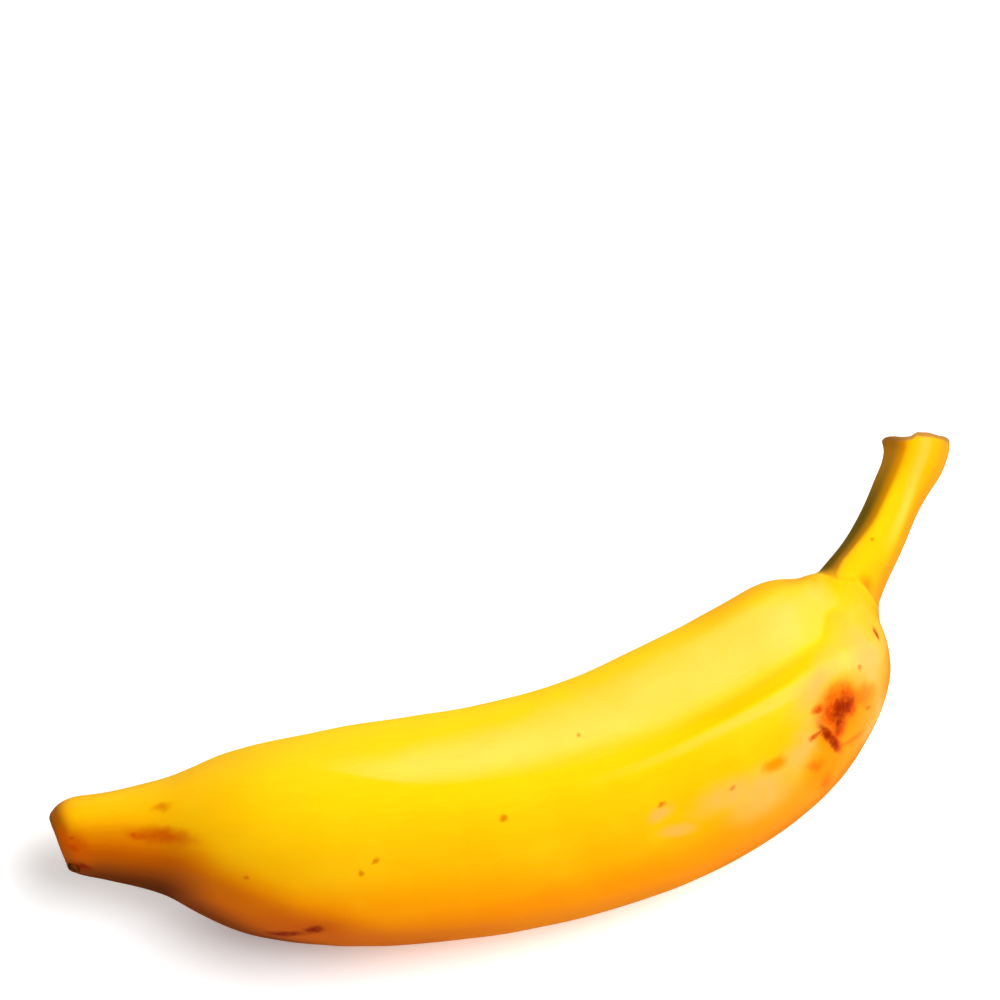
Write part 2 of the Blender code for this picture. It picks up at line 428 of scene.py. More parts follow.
class Skin:
    """Where each point of the peel lies about the fruit, read from its mesh."""

    def __init__(self, obj):
        self.mesh = obj.data
        self.read_points()
        up, self.inward, self.run = rows_of(self.mesh.attributes[PLACES].data, "vector", 3).T
        self.drawn_in = np.hypot(up, self.inward)
        even, stations = eased_stations()
        along, radius = np.interp(self.run, even, stations[:, 0]), np.interp(self.run, even, stations[:, 4])
        self.length = even[-1]
        angle = np.arctan2(self.inward, up)
        off = round_about(angle[:, None] - turning_ridges(along)) * radius[:, None]
        self.off_crest, self.off_second = off[:, 0], off[:, -1]
        self.off_ridge = np.abs(off).min(axis=1)
        self.lengthwise = np.stack([up * radius, self.inward * radius, self.run], axis=1)

    def read_points(self):
        """Reads where the points are now, and their normals."""
        self.points = rows_of(self.mesh.vertices, "co", 3)
        self.normals = rows_of(self.mesh.vertices, "normal", 3)

    def note_ridges(self):
        """Keeps each point's distances from the first ridge and from the one below it on the mesh."""
        off = np.stack([self.off_crest, self.off_second, np.zeros(len(self.points))], axis=1)
        noted = self.mesh.attributes.new(RIDGES, "FLOAT_VECTOR", "POINT")
        noted.data.foreach_set("vector", off.astype(np.float32).ravel())

    def raise_by(self, heights):
        """Moves the points out along their normals."""
        self.move_by(self.normals * heights[:, None])

    def move_by(self, steps):
        """Moves the points, and keeps them off the surface below."""
        self.points = self.points + steps
        self.points[:, 2] = np.maximum(self.points[:, 2], 0)
        self.mesh.vertices.foreach_set("co", self.points.astype(np.float32).ravel())
        self.mesh.update()


def in_world(direction):
    """A direction given in the plane of the bend, as it lies in the world."""
    return Euler(BEND_TURN).to_matrix() @ Vector(direction)


def heading_of(station):
    """The way that the fruit heads at one of its stations, in the world."""
    turn = radians(station[2])
    return in_world((cos(turn), sin(turn), 0))


def soften_ridges(obj, skin):
    """Rounds the ridges off where the real fruit has soft ones: on its tip's half, its tip and its stalk."""
    by_crest = np.exp(-((skin.off_crest / SOFT_REACH) ** 2)) * (1 - smoothly(66 * MM, 96 * MM, skin.run))
    from_end = skin.length - skin.run
    on_stalk = (1 - smoothly(20 * MM, 30 * MM, from_end)) * smoothly(1.5 * MM, 4 * MM, from_end)
    weights = np.maximum(by_crest, on_stalk * 0.8) * smoothly(1.5 * MM, 8 * MM, skin.run)
    by_tip = smoothly(0, 0.4 * MM, skin.run) * (1 - smoothly(3 * MM, 9 * MM, skin.run))
    weights = np.maximum(weights, 0.25 * by_tip)
    group = obj.vertex_groups.new(name="soft")
    levels = np.round(weights * SOFT_LEVELS).astype(int)
    for level in range(1, SOFT_LEVELS + 1):
        group.add(np.flatnonzero(levels == level).tolist(), level / SOFT_LEVELS, "REPLACE")
    apply_modifier(obj, "Soft", "SMOOTH", factor=0.5, iterations=SOFT_ROUNDS, vertex_group=group.name)
    obj.vertex_groups.clear()
    before, normals = skin.points, skin.normals
    skin.read_points()
    # The girth that this takes off is given back, ring by ring
    moved = ((skin.points - before) * normals).sum(axis=1)
    rings = (skin.run / (0.5 * MM)).astype(int)
    lost = np.bincount(rings, weights * moved) / np.maximum(np.bincount(rings, weights), 1)
    skin.raise_by(-lost[rings] * weights)


def fold_height(skin, stage):
    """The lip of the shoulder round the foot of the stalk, with the crease behind it."""
    surface = surface_of(skin.mesh)
    line = [seen_on(surface, stage, pixel)[0] for pixel in FOLD_PIXELS]
    to_stalk = heading_of(STALK_FOOT)
    heights = np.zeros(len(skin.points))
    near = np.linalg.norm(skin.points - line[len(line) // 2], axis=1) < FOLD_REACH
    for index in np.flatnonzero(near):
        point = Vector(skin.points[index])
        feet = [closest_on(point, *ends) for ends in zip(line, line[1:])]
        foot = min(feet, key=lambda place: (point - place).length)
        away = (point - foot).length
        beyond = (point - foot).dot(to_stalk) - CREASE_PLACE
        aside = max(away - abs((point - foot).dot(to_stalk)), 0)
        heights[index] = FOLD_HEIGHT * np.exp(-((away / FOLD_WIDTH) ** 2))
        heights[index] -= CREASE_DEPTH * np.exp(-((beyond / FOLD_WIDTH) ** 2) - (aside / FOLD_WIDTH) ** 2)
    return heights


def closest_on(point, start, end):
    """The point of the stretch from start to end that is closest to this one."""
    foot, share = intersect_point_line(point, start, end)
    return start.lerp(end, min(max(share, 0), 1))


def shape_skin(skin, settings, stage):
    """The unevenness that a real fruit has: low lumps, crisp ridges, furrows on its neck and its stalk."""
    lumps = sum(noise_at(skin.points, size, seed) * high for seed, (size, high) in enumerate(LUMP_SIZES))
    on_ends = 1 - smoothly(20 * MM, 38 * MM, skin.run) + smoothly(-58 * MM, -46 * MM, skin.run - skin.length)
    drawn_together = skin.lengthwise * (1, 1, 0.2)
    furrows = sum(
        noise_at(drawn_together, size, seed) * high
        for seed, (size, high) in enumerate(FURROW_SIZES, FURROW_SEED)
    )
    on_body = smoothly(70 * MM, 100 * MM, skin.run) * (1 - smoothly(132 * MM, 142 * MM, skin.run))
    # The first ridge is worn, so only the others stand crisp
    other_ridges = skin.off_ridge + 20 * MM * (np.abs(skin.off_crest) <= skin.off_ridge + 0.1 * MM)
    crisp = np.exp(-((other_ridges / RIDGE_WIDTH) ** 2)) * RIDGE_HEIGHT
    broken = 0.4 + 0.6 * smoothly(-0.3, 0.3, noise_at(skin.lengthwise, 6 * MM, WORN_SEED))
    worn_and_sheen = np.exp(-(((skin.off_crest + WORN_ASIDE) / WORN_WIDTH) ** 2)) * WORN_HEIGHT * on_body * broken
    heights = lumps * settings.lumps + furrows * (0.15 + on_ends) * settings.furrows
    heights += (crisp + worn_and_sheen) * settings.ridges
    off_ends = smoothly(0, 1.0 * MM, skin.run) * smoothly(0, 1.0 * MM, skin.length - skin.run)
    skin.raise_by(heights * off_ends + fold_height(skin, stage))


def cut_rise(inward):
    """How far the uneven cut of the stalk rises, from its outer side at -1 to its hollow side at 1."""
    outer = 1 - smoothly(0, 0.3, inward) + 0.4 * (1 - smoothly(-0.8, 0, inward))
    return smoothly(0.4, 0.95, inward) * HOLLOW_RISE + outer * OUTER_RISE - NOTCH_DEPTH


def shape_ends(skin):
    """Sinks the two end faces inside their rims, bulges the blossom end and makes the stalk's cut uneven."""
    by_blossom, by_stalk = skin.run < 0.01 * MM, skin.run > skin.length - 0.01 * MM
    inside = 1 - smoothly(0.62, 0.86, skin.drawn_in)
    skin.raise_by(-(by_blossom * SCAR_DEPTH + by_stalk * CUT_DEPTH) * inside)
    share = smoothly(skin.length - UNEVEN_LENGTH, skin.length, skin.run)
    turn = radians(STATIONS[-1][2])
    inward = np.array(in_world((-sin(turn), cos(turn), 0)))
    steps = np.outer(share * cut_rise(skin.inward), heading_of(STATIONS[-1]))
    steps -= np.outer(share * np.maximum(skin.inward, 0) * LESS_FLARE, inward)
    steps -= np.outer((1 - smoothly(0, BULGE_LENGTH, skin.run)) * END_BULGE, heading_of(STATIONS[0]))
    skin.move_by(steps)


class Wire:
    """A node's output. Python's own operators add the Math nodes that work on it."""

    def __init__(self, graph, socket):
        self.graph, self.socket = graph, socket

    def __add__(self, other):
        return self.graph.maths("ADD", self, other)

    def __sub__(self, other):
        return self.graph.maths("SUBTRACT", self, other)

    def __rsub__(self, other):
        return self.graph.maths("SUBTRACT", other, self)

    def __mul__(self, other):
        return self.graph.maths("MULTIPLY", self, other)

    __radd__, __rmul__ = __add__, __mul__


class Graph:
    """The nodes of a material, each added from its type, its settings and its inputs."""

    def __init__(self, tree):
        self.tree = tree

    def node(self, kind, settings, inputs, output=0):
        """Adds a node. Its settings are set before its inputs, which are values or wires by name or place."""
        made = self.tree.nodes.new(kind)
        for key, value in settings.items():
            setattr(made, key, value)
        self.feed(made, inputs)
        return Wire(self, made.outputs[output])

    def feed(self, node, inputs):
        """Links wires to a node's sockets, by name or place, and sets values on the sockets themselves."""
        for key, value in inputs.items():
            socket = node.inputs[key]
            if isinstance(value, Wire):
                self.tree.links.new(value.socket, socket)
            elif socket.type == "RGBA":
                socket.default_value = (*value, 1)
            else:
                socket.default_value = value

    def maths(self, operation, *values):
        return self.node("ShaderNodeMath", {"operation": operation}, dict(enumerate(values)))

    def highest(self, values):
        """The highest of some masks at each place."""
        masks = list(values)
        top = masks[0]
        for mask in masks[1:]:
            top = self.maths("MAXIMUM", top, mask)
        return top

    def vector(self, operation, *values, output=0):
        return self.node("ShaderNodeVectorMath", {"operation": operation}, dict(enumerate(values)), output)

    def split(self, vector):
        """The three numbers of a vector."""
        parts = self.node("ShaderNodeSeparateXYZ", {}, {"Vector": vector})
        return [Wire(self, socket) for socket in parts.socket.node.outputs]

    def between(self, value, low, high, to_low=0, to_high=1):
        """A smooth step of a value: to_low at low, and to_high at high."""
        return self.node(
            "ShaderNodeMapRange", {"interpolation_type": "SMOOTHSTEP"},
            {"Value": value, "From Min": low, "From Max": high, "To Min": to_low, "To Max": to_high},
        )

    def mix(self, share, first, second):
        """The first colour turning into the second by a share."""
        return self.node("ShaderNodeMix", {"data_type": "RGBA"}, {0: share, 6: first, 7: second}, output=2)

    def noise(self, place, size, detail=2, roughness=0.5, output=0):
        """Noise from 0 to 1 with features of about this size."""
        return self.node(
            "ShaderNodeTexNoise", {},
            {"Vector": place, "Scale": 1 / size, "Detail": detail, "Roughness": roughness}, output,
        )


def photo_axes(azimuth, elevation):
    """Right, up and back of a level view from this azimuth and elevation."""
    back = Vector((sin(azimuth) * cos(elevation), -cos(azimuth) * cos(elevation), sin(elevation)))
    right = Vector((cos(azimuth), sin(azimuth), 0))
    return right, back.cross(right), back


def pixel_ray(stage, pixel):
    """The way that the camera looks through a pixel of the photograph."""
    right, up, back = photo_axes(stage.azimuth, stage.elevation)
    focal = stage.lens / SENSOR * PHOTO_SIZE
    across, down = (pixel[0] - PHOTO_SIZE / 2) / focal, (pixel[1] - PHOTO_SIZE / 2) / focal
    return (right * across - up * down - back).normalized()


def camera_place(stage):
    """Where the camera stands, so that the aim shows at its own pixel."""
    return AIM - pixel_ray(stage, AIM_PIXEL) * stage.distance


def seen_on(surface, stage, pixel):
    """The point of a surface that a pixel of the photograph shows, and the surface's normal there."""
    place, normal, _, _ = surface.ray_cast(camera_place(stage), pixel_ray(stage, pixel))
    if place is None:
        raise RuntimeError(f"Pixel {pixel} misses the fruit")
    return place, normal


def mark_box(mark, surface, stage):
    """Where a mark lies on the peel, which way it is turned, and its half sizes."""
    place, normal = seen_on(surface, stage, mark.pixel)
    right, up, back = photo_axes(stage.azimuth, stage.elevation)
    slant = radians(mark.slant)
    seen_along = right * cos(slant) + up * sin(slant)
    along = seen_along - back * (seen_along.dot(normal) / back.dot(normal))
    pixel_size = stage.distance * SENSOR / stage.lens / PHOTO_SIZE
    aside = normal.cross(along.normalized())
    spread = max(abs(aside.dot(back.cross(seen_along))), 0.4)
    half_sizes = (
        mark.half_length * pixel_size * along.length, mark.half_width * pixel_size / spread, MARK_DEPTH
    )
    return place, Matrix((along.normalized(), aside, normal)).transposed().to_euler(), half_sizes


def mark_mask(graph, ragged, boxes, soft):
    """1 inside these marks, falling to 0 over the soft share of their size."""
    masks = []
    for place, turn, half_sizes in boxes:
        local = graph.node(
            "ShaderNodeMapping", {"vector_type": "TEXTURE"},
            {"Vector": ragged, "Location": place, "Rotation": turn, "Scale": half_sizes},
        )
        away = graph.vector("LENGTH", local, output=1)
        masks.append(graph.between(away, 1 + soft, 1 - soft))
    return graph.highest(masks)


def new_material(name):
    """A new material, and the graph of its nodes with their shader."""
    material = bpy.data.materials.new(name)
    material.use_nodes = True
    return material, Graph(material.node_tree), material.node_tree.nodes["Principled BSDF"]


class Fields:
    """What the peel's colours follow, as wires: places on it and about the fruit, and shared noises."""

    def __init__(self, graph):
        self.graph = graph
        self.place = graph.node("ShaderNodeTexCoord", {}, {}, "Object")
        about = graph.node("ShaderNodeAttribute", {"attribute_name": PLACES}, {}, "Vector")
        ridges = graph.node("ShaderNodeAttribute", {"attribute_name": RIDGES}, {}, "Vector")
        self.up, self.inward, self.run = graph.split(about)
        self.off_crest, self.off_second, _ = graph.split(ridges)
        # As wide as the fruit, but drawn together along it, so that noise on it runs lengthwise
        self.lengthwise = graph.vector("MULTIPLY", about, (17 * MM, 17 * MM, 0.09))
        self.mottle = graph.noise(self.place, 9 * MM, 3, 0.55)
        self.broad = graph.noise(self.place, 28 * MM, 2)
        self.fibre = graph.noise(self.lengthwise, 0.7 * MM, 4, 0.6)
        self.strands = graph.noise(self.lengthwise, 2.2 * MM, 3, 0.55)
        # How far above the yellow strip along the first ridge, which swells at its end
        self.over_strip = self.off_crest - self.along(123, 130) * 3.5 * MM

    def along(self, low, high, to_low=0, to_high=1):
        """A smooth step along the convex edge, by how many millimetres from the blossom end it is."""
        return self.graph.between(self.run, low * MM, high * MM, to_low, to_high)

    def off(self, low, high):
        """A smooth step across the first ridge, by how many millimetres above it a place is."""
        return self.graph.between(self.off_crest, low * MM, high * MM)


def sound_layers(graph, at, settings):
    """The sound skin: yellow on top and on the hollow side, and orange below and by the two ends. The orange
    below is partly the skin's own tone and partly painted shade. It deepens into painted shade at the
    outermost edge, on the tip's half and under the belly. The hollow edge by the shoulder is made orange as
    painted shade.
    """
    # Painted shade: the hollow side's edge by the shoulder, which turns from the light, is made orange
    shaded_hollow_edge = graph.between(at.up, 0.62, 0.42) * graph.between(at.inward, 0, 0.3)
    # Painted shade: the outer side of the tip's half, and the belly underneath, made deeper orange and brown
    shaded_below_tip = graph.between(at.inward, -0.5, -0.95) * at.along(95, 45)
    belly = graph.between(at.inward, -0.80, -0.97) * at.along(78, 52)
    # Warmer by the two ends, their own tone, and on the hollow edge by the shoulder as painted shade
    warm = graph.highest([
        at.along(40, 14) * 0.45,
        at.along(124, 142) * at.along(170, 150, 0.3, 0.55),
        shaded_hollow_edge * at.along(95, 110) * at.along(142, 132) * 0.7,
    ])
    return [
        # The outer side turns orange: partly the skin's own tone, partly painted shade
        (graph.between(at.inward * -1 + (at.broad - 0.5) * 0.4, -0.05, 1.15), settings.flank),
        (warm, settings.flank),
        (graph.between(at.mottle, 0.35, 0.8) * 0.25, settings.pale),
        (graph.between(at.fibre, 0.3, 0.85, 0, 0.12), settings.flank),
        # Painted shade: deeper orange at the outermost edge and below the tip
        (graph.highest([graph.between(at.inward, -0.65, -0.97) * 0.9, shaded_below_tip * 0.8]), settings.stain_and_shade),
        # Painted shade: the belly browned underneath
        (belly * 0.6, settings.brown_and_shade),
    ]


def worn_and_sheen_layers(graph, at, settings):
    """The skin paled: a painted highlight just below the first ridge, frayed like wear, a painted highlight
    along the same ridge up the stalk, and painted sheen at the face's end.
    """
    frayed = (graph.noise(at.lengthwise, 1.8 * MM, 3, 0.6) - 0.5) * 2.5 * MM
    wider = graph.maths("MAXIMUM", at.run - 98 * MM, 0) * 0.05
    # Painted highlight: a thin pale line just below the first ridge's crest, where the ridge catches the
    # light, frayed like wear
    beside = graph.between(at.off_crest + wider + frayed, -3.3 * MM, -2.3 * MM) * at.off(-1.2, -1.8)
    beside = beside * at.along(74, 110) * at.along(145, 135)
    # Painted highlight along the same ridge up the stalk
    on_ridge = graph.maths("ABSOLUTE", at.off_crest - at.along(166, 177) * 1.5 * MM + frayed * 0.3)
    stalk_ridge_highlight = graph.between(on_ridge, 1.5 * MM, 0) * at.along(158, 170)
    # Painted sheen at the end of the face above the ridge, by the shoulder
    face_end_sheen = graph.between(at.over_strip, 1.5 * MM, 3 * MM) * at.off(14, 10)
    face_end_sheen = face_end_sheen * at.along(110, 124) * at.along(137, 131)
    # Painted shade: a strip along the first ridge's crest, where it turns from the light, made more orange
    strip = at.off(-1.4, -0.6) * graph.between(at.over_strip, 2.2 * MM, 0.8 * MM)
    strip = strip * at.along(80, 105) * at.along(136, 132)
    return [
        (graph.highest([beside * 0.5, stalk_ridge_highlight * 0.6, face_end_sheen * 0.45]), settings.worn_and_sheen),
        (strip * 0.35, settings.flank),
    ]


def browned_layers(graph, at, settings):
    """The outer side of the tip browned, partly its own brown and partly painted shade that is darkest
    underneath, and the stalk's hollow side, its own green darkened as painted shade.
    """
    edge = at.off_second + graph.maths("MAXIMUM", at.run - 20 * MM, 0) * 0.15 + (at.strands - 0.5) * 1.5 * MM
    outer = graph.between(at.inward, 0.5, 0)
    # The tip's outer side browned: partly its own brown, partly painted shade
    browned_shaded_tip = at.along(64, 28) * at.along(24, 14, 0.75, 0.92) * outer
    # Painted shade, darkest under the neck and tip and at the belly's left end
    dark_brown_and_shade = graph.highest([
        graph.between(edge, 1 * MM, -7 * MM) * at.along(24, 13),
        graph.between(edge, -3 * MM, -9 * MM) * at.along(52, 30) * 0.75,
    ])
    uneven_run = at.run + (at.broad - 0.5) * 12 * MM
    on_stalk = graph.between(at.inward, 0, 0.4) * graph.between(uneven_run, 131 * MM, 151 * MM)
    level = at.up + at.along(165, 150) * 0.16
    cut = eased_stations()[0][-1] / MM
    return [
        # Browner and darker towards the blossom end's rim
        (at.along(2.6, 0.2) * 0.75, settings.brown_and_shade),
        (at.along(1.8, 0.2) * 0.5, settings.dark_brown_and_shade),
        # Painted shade over the tip's own brown, below its second ridge
        (graph.between(edge, 6 * MM, -1 * MM) * browned_shaded_tip, settings.brown_and_shade),
        (dark_brown_and_shade * outer, settings.dark_brown_and_shade),
        # Partly painted shade: the stalk's hollow side, turned from the light, darkened from olive to deep
        # green over its own green
        (graph.between(level, 0.995, 0.89) * on_stalk * 0.92, settings.olive),
        (graph.between(level, 0.92, 0.60) * on_stalk * 0.92, settings.green),
        (at.along(164, 181) * 0.4, settings.flank),
        (at.along(cut - 1.1, cut - 0.3) * 0.92, settings.dried),
    ]


def mark_masks(graph, ragged, peel, stage):
    """A mask for each kind of mark."""
    surface = surface_of(peel.data)
    return {
        kind: mark_mask(graph, ragged, [mark_box(mark, surface, stage) for mark in marks], SOFTNESS[kind])
        for kind, marks in MARKS.items()
    }


def marked_layers(graph, at, settings, ragged, masks):
    """The marks, among them painted shade in places and painted sheen on the shoulder, and a freckle here and
    there all over.
    """
    flecks = graph.between(graph.noise(at.place, 1.6 * MM, 3, 0.7), 0.36, 0.60)
    patchy = graph.between(at.mottle, 0.35, 0.6, 0.3, 1)
    cells = graph.node("ShaderNodeTexVoronoi", {}, {"Vector": ragged, "Scale": 1 / (7 * MM)})
    chance = Wire(graph, cells.socket.node.outputs["Color"])
    picked = graph.node("ShaderNodeSeparateColor", {}, {"Color": chance})
    size = Wire(graph, picked.socket.node.outputs[1])
    freckle = graph.between(cells + size * 0.02, 0.05, 0.025) * graph.between(picked, 0.78, 0.82)
    return [
        # Rubbed skin, and on the shoulder partly painted sheen
        (masks["scuff_and_sheen"] * patchy, settings.scuff_and_sheen_colour),
        (masks["stain"] * 0.95, settings.stain_and_shade),
        # Faint brown, with painted shade in the crease by the stalk; deeper brown, painted shade on the tip
        # and a bruise under the belly
        (graph.highest([masks["smudge_and_crease_shade"] * 0.6, masks["shade"] * 0.95]), settings.brown_and_shade),
        (masks["rust"] * graph.between(flecks, 0, 1, 0.7, 0.95), settings.rusty),
        (masks["speck"] * 0.6, settings.rusty),
        (masks["bruise"] * graph.between(flecks, 0, 1, 0.75, 1), settings.bruised),
        (freckle * 0.45, settings.rusty),
    ]


def wax_share(graph, at, masks, hurt):
    """The wax: whole on the face above the first ridge, thinner on the shoulder and the far sides."""
    to_body = graph.maths("MAXIMUM", 80 * MM - at.run, 0)
    lower_rim = graph.between(at.over_strip - to_body * 0.08, 0.3 * MM, 1.3 * MM)
    uneven_off = at.off_crest + to_body * 0.25 + (at.mottle - 0.5) * 8 * MM
    face = lower_rim * graph.between(uneven_off, 19 * MM, 14 * MM) * at.along(32, 56) * at.along(133, 125)
    shoulder = at.off(-1.6, -3) * at.along(95, 125)
    wax = graph.highest([face, shoulder * 0.55, graph.between(at.up, -0.35, -0.6) * 0.6])
    dulled = graph.highest([hurt, masks["stain"] * 0.9])
    return wax * (1 - dulled) * graph.between(at.mottle, 0.25, 0.65, 0.75, 1)


def peel_material(peel, settings, stage):
    """Ripe skin: waxy yellow turning orange on its outer side, partly as painted shade, with fibres, freckles
    and its own marks, and painted shade, highlight and sheen in places.
    """
    material, graph, shader = new_material("peel")
    at = Fields(graph)
    jitter = graph.noise(at.place, 2.2 * MM, 4, 0.65, output=1)
    centred = graph.vector("SUBTRACT", jitter, (0.5, 0.5, 0.5))
    ragged = graph.vector("ADD", at.place, graph.vector("MULTIPLY", centred, (RAGGED,) * 3))
    masks = mark_masks(graph, ragged, peel, stage)
    colour = settings.ripe
    for share, layer in (
        *sound_layers(graph, at, settings), *worn_and_sheen_layers(graph, at, settings),
        *browned_layers(graph, at, settings), *marked_layers(graph, at, settings, ragged, masks),
    ):
        colour = graph.mix(share, colour, layer)
    hurt = graph.highest([masks["rust"] * 0.7, masks["bruise"], masks["speck"] * 0.6])
    roughness = graph.between(at.mottle, 0.25, 0.8, settings.roughness - 0.05, settings.roughness + 0.12)
    height = at.fibre * 0.012 + at.strands * 0.02 + graph.noise(at.place, 0.9 * MM, 2) * 0.01
    graph.feed(shader, {
        "Base Color": colour,
        "Roughness": roughness + hurt * 0.2 + masks["scuff_and_sheen"] * 0.1,
        "Normal": graph.node("ShaderNodeBump", {}, {"Strength": 1.0, "Distance": 1 * MM, "Height": height}),
        "Specular IOR Level": settings.gloss,
        "Specular Tint": settings.tint,
        "Coat Weight": wax_share(graph, at, masks, hurt) * settings.wax,
        "Coat Roughness": settings.wax_roughness,
        "Coat IOR": 1.4,
        "Subsurface Weight": settings.glow,
        "Subsurface Radius": (1.0, 0.3, 0.06),
        "Subsurface Scale": 3 * MM,
    })
    return material


def colour_property(name, colour, description):
    """A colour that the user can change, linear."""
    return FloatVectorProperty(
        name=name, default=colour, subtype="COLOR", min=0, max=1, description=description
    )


def share_property(name, share, description):
    """A share from 0 to 1 that the user can change."""
    return FloatProperty(name=name, default=share, subtype="FACTOR", min=0, max=1, description=description)


def strength_property(name, description):
    """How strongly a form shows, as a multiple that the user can change."""
    return FloatProperty(name=name, default=1, min=0, max=4, description=description)


def power_property(name, watts, description):
    """The power of a light, which the user can change."""
    return FloatProperty(name=name, default=watts, subtype="POWER", min=0, description=description)


class PeelSettings(PropertyGroup):
    """The colours, the unevenness and the sheen of the peel."""

    ripe: colour_property("Ripe", (0.97, 0.60, 0.002), "The upper and hollow side")
    # The outer side's orange, partly its own tone and partly painted shade; also the fibres, the warm ends,
    # and painted shade on the hollow edge and along the first ridge
    flank: colour_property("Flank", (0.97, 0.35, 0.001), "The outer side and the fibres")
    pale: colour_property("Pale", (1.0, 0.70, 0.01), "Paler mottling")
    # Pale: mostly painted highlight and sheen along the back's ridge, up the stalk and at the face's end,
    # with some wear
    worn_and_sheen: colour_property("Worn", (1.0, 0.62, 0.09), "The worn line along the back and up the stalk")
    # The stalk's hollow side: its own olive and green, darkened as painted shade
    olive: colour_property("Olive", (0.40, 0.15, 0.0), "Where the stalk turns to its hollow side")
    green: colour_property("Green", (0.13, 0.085, 0.0), "The hollow side of the stalk")
    dried: colour_property("Dried", (0.38, 0.19, 0.04), "The rim of the stalk's cut")
    # Brown of the neck and tip, partly their own and partly painted shade; also faint brown marks and painted
    # shade under the belly
    brown_and_shade: colour_property("Under the tip", (0.66, 0.11, 0.0), "The browned side of the neck and tip")
    # Darkest brown: painted shade under the neck and tip, and the darkening at the blossom end's rim
    dark_brown_and_shade: colour_property("Lowest", (0.16, 0.028, 0.0), "The underside of the neck and tip")
    tint: colour_property("Tint", (1.0, 0.7, 0.06), "The tint of the bare skin's reflections")
    # Rubbed skin's colour, also painted sheen on the shoulder
    scuff_and_sheen_colour: colour_property("Scuffed", (1.0, 0.44, 0.085), "Dry, rubbed skin")
    # Amber round wounds; also painted shade at the outermost edge and below the tip
    stain_and_shade: colour_property("Stained", (0.97, 0.26, 0.0), "Around wounds")
    rusty: colour_property("Rusty", (0.60, 0.05, 0.0), "Specks and the edges of wounds")
    bruised: colour_property("Bruised", (0.28, 0.016, 0.0), "The middles of wounds")
    lumps: strength_property("Lumps", "Height of the low lumps")
    ridges: strength_property("Ridges", "Crispness of the five ridges")
    furrows: strength_property("Furrows", "Depth of the lengthwise furrows at the neck and on the stalk")
    roughness: share_property("Roughness", 0.45, "Roughness of the skin under its wax")
    gloss: share_property("Gloss", 0.04, "Strength of the bare skin's reflections")
    wax: share_property("Wax", 0.9, "Share of the wax")
    wax_roughness: share_property("Wax roughness", 0.34, "Roughness of the wax")
    glow: share_property("Glow", 0.2, "Share of the light that spreads under the skin")


class EndSettings(PropertyGroup):
    """The dry scar at the blossom end and the cut end of the stalk."""

    scar_colour: colour_property("Scar", (0.05, 0.010, 0.001), "The dry remains of the blossom")
    scar_edge: colour_property("Scar's edge", (0.20, 0.048, 0.004), "The raised parts of the scar")
    cut_colour: colour_property("Cut", (0.42, 0.23, 0.06), "The fibrous cut")
    cut_rim: colour_property("Cut's hollows", (0.22, 0.10, 0.025), "The hollows of the cut, and its vessels")


class StageSettings(PropertyGroup):
    """The surface, the light and the camera."""

    azimuth: FloatProperty(name="Azimuth", default=radians(-26.5), subtype="ANGLE",
                           description="Which side the camera looks from: 0 looks along +Y")
    elevation: FloatProperty(name="Elevation", default=radians(60), subtype="ANGLE",
                             description="How far above the surface the camera looks from")
    distance: FloatProperty(name="Distance", default=0.505, subtype="DISTANCE",
                            description="From the camera to the middle of the fruit")
    lens: FloatProperty(name="Lens", default=120, subtype="DISTANCE_CAMERA",
                        description="The camera's focal length, on a sensor 36 mm wide")
    floor_colour: colour_property("Floor", (0.92, 0.92, 0.92), "The surface that the fruit lies on")
    floor_light: FloatProperty(name="Floor light", default=0.3,
                               description="Brightness of the surface's own light, as of a light table")
    key: power_property("Key light", 7.5, "The high light at the right, which the skin doesn't mirror")
    sheen: power_property("Sheen light", 3, "The smaller light inside it, which the skin mirrors")
    back: power_property("Back light", 4, "The low light behind")
    side: power_property("Side light", 1.4, "The low light at the right")
    sky: FloatProperty(name="Sky", default=0.02, description="Brightness of the light from all round")


def finish_piece(obj, material):
    """Gives a piece its material, and hangs it on the fruit's body."""
    obj.data.materials.clear()
    obj.data.materials.append(material)
    only(obj)
    bpy.ops.object.shade_smooth()
    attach(obj, BODY)


class BANANA_OT_peel(Operator):
    """Build the peel: the whole outside of the fruit with its ridges, marks and sheen"""

    bl_idname = "banana.peel"
    bl_label = "Peel"

    def execute(self, context):
        settings, stage = context.scene.banana_peel, context.scene.banana_stage
        peel = wrapped_tube("peel")
        skin = Skin(peel)
        skin.note_ridges()
        soften_ridges(peel, skin)
        shape_skin(skin, settings, stage)
        shape_ends(skin)
        finish_piece(peel, peel_material(peel, settings, stage))
        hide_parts(NODE)
        return {"FINISHED"}


